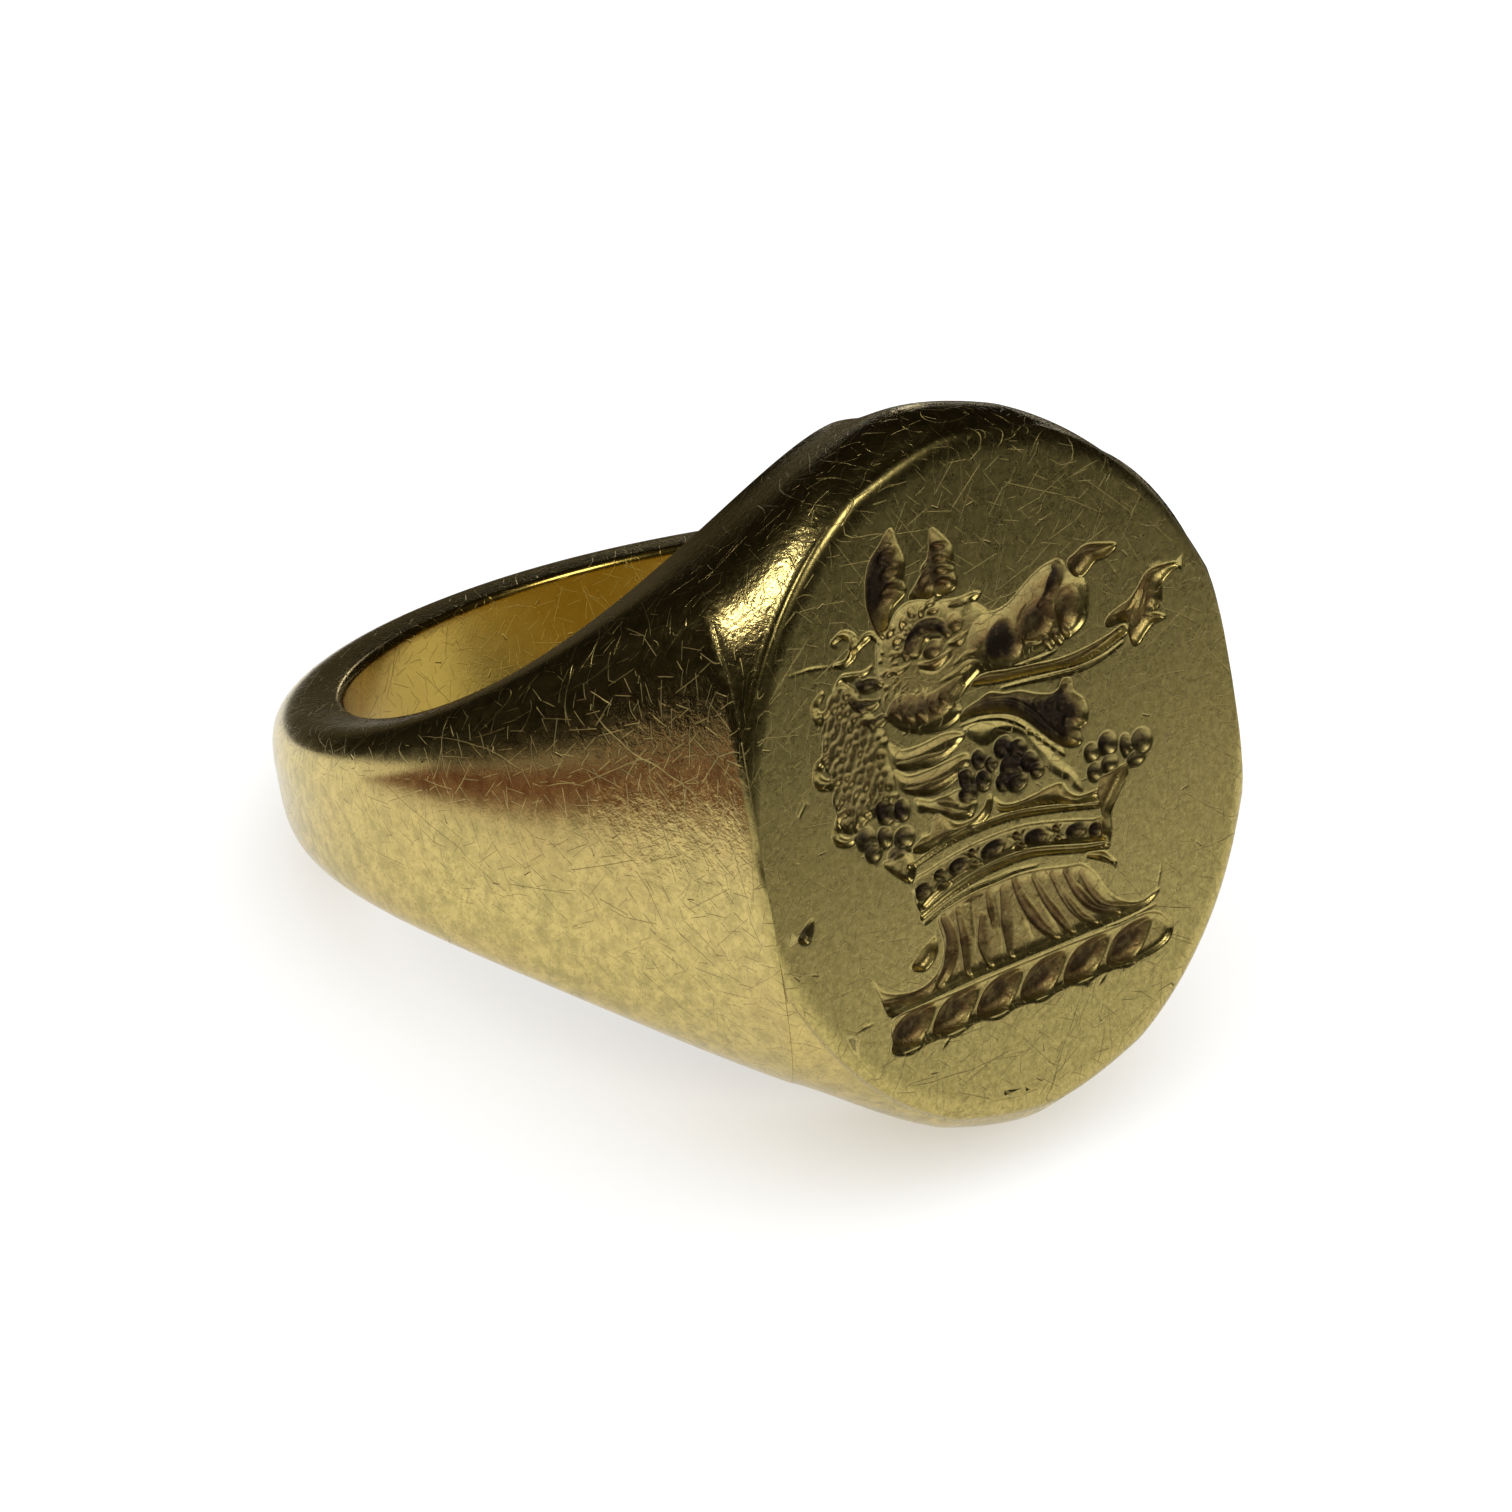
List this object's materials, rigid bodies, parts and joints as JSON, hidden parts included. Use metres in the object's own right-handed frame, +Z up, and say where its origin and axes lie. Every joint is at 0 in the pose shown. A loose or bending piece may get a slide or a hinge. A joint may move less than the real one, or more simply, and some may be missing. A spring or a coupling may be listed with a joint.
{
  "type": "signet ring",
  "caption": "Heavy yellow gold signet ring with a flat oval seal face, engraved with a crowned beast's head on a twisted wreath, and a tapering band.",
  "frame": {"origin": "on the table under the middle of the ring as it lies on its side: the centre of the bottom of the bounding box", "axes": "+Z up from the table; the seal face looks towards -Y and leans back 21.3 degrees, because the deep head props up the finger axis; +X runs across the seal face, to the right for someone who looks at it"},
  "size_m": [0.0226, 0.027, 0.019],
  "materials": {
    "gold": "18 ct yellow gold, polished and worn, with many fine scratches",
    "solder": "hard gold solder, filed flush and polished with the ring"
  },
  "bodies": {
    "root": {"seal_table": "gold", "table_solder": "solder", "head_block": "gold", "head_solder_left": "solder", "head_solder_right": "solder", "shank_arm_left": "gold", "shank_arm_right": "gold", "sizing_solder_left": "solder", "sizing_solder_right": "solder", "sizing_piece": "gold"}
  },
  "joints": []
}
